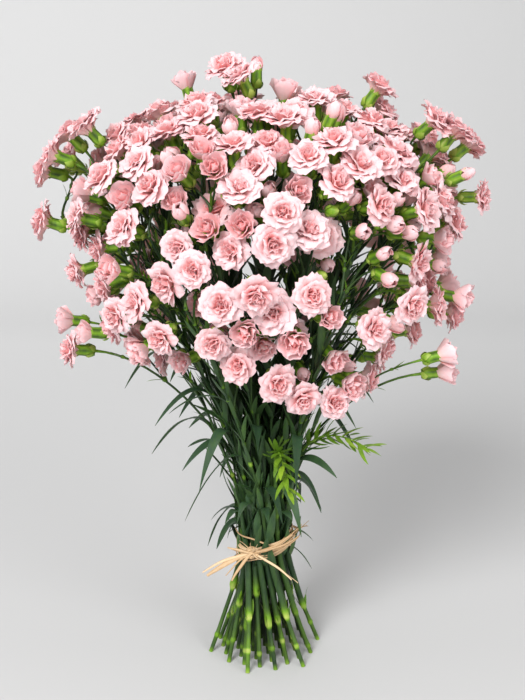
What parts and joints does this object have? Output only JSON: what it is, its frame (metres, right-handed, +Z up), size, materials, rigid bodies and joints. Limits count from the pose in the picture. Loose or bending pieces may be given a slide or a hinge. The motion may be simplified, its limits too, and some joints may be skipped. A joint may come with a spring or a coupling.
{
  "type": "bunch of carnations",
  "caption": "Hand-tied spiral bunch of long-stemmed pink spray carnations with buds, narrow leaves and leafy filler shoots, bound with raffia and standing on its cut stem ends.",
  "frame": {"origin": "bottom centre: in the plane of the cut stem ends, on the bunch's upright axis, where the centre stem is cut", "axes": "+Z up along the bunch from the cut ends to the blooms, -Y to the front that the picture shows"},
  "size_m": [0.4174, 0.3147, 0.588],
  "materials": {
    "petal": "soft matte petals",
    "greenery": "satin waxy green",
    "filler_leaf": "satin leaf",
    "raffia": "dry matte fibre"
  },
  "bodies": {
    "root": {"filler_shoot_32": "filler_leaf", "filler_shoot_33": "filler_leaf", "raffia_tie": "raffia", "spray_00": "petal", "spray_01": "petal", "spray_02": "petal", "spray_03": "petal", "spray_04": "petal", "spray_05": "petal", "spray_06": "petal", "spray_07": "petal", "spray_08": "petal", "spray_09": "petal", "spray_10": "petal", "spray_11": "petal", "spray_12": "petal", "spray_13": "petal", "spray_14": "petal", "spray_15": "petal", "spray_16": "petal", "spray_17": "petal", "spray_18": "petal", "spray_19": "petal", "spray_20": "petal", "spray_21": "petal", "spray_22": "petal", "spray_23": "petal", "spray_24": "petal", "spray_25": "petal", "spray_26": "petal", "spray_27": "petal", "spray_28": "petal", "spray_29": "petal", "spray_30": "petal", "spray_31": "petal", "spray_34": "petal", "spray_35": "petal", "spray_36": "petal", "spray_37": "petal", "spray_38": "petal", "spray_39": "petal", "spray_40": "petal", "spray_41": "petal", "spray_42": "petal"}
  },
  "joints": []
}
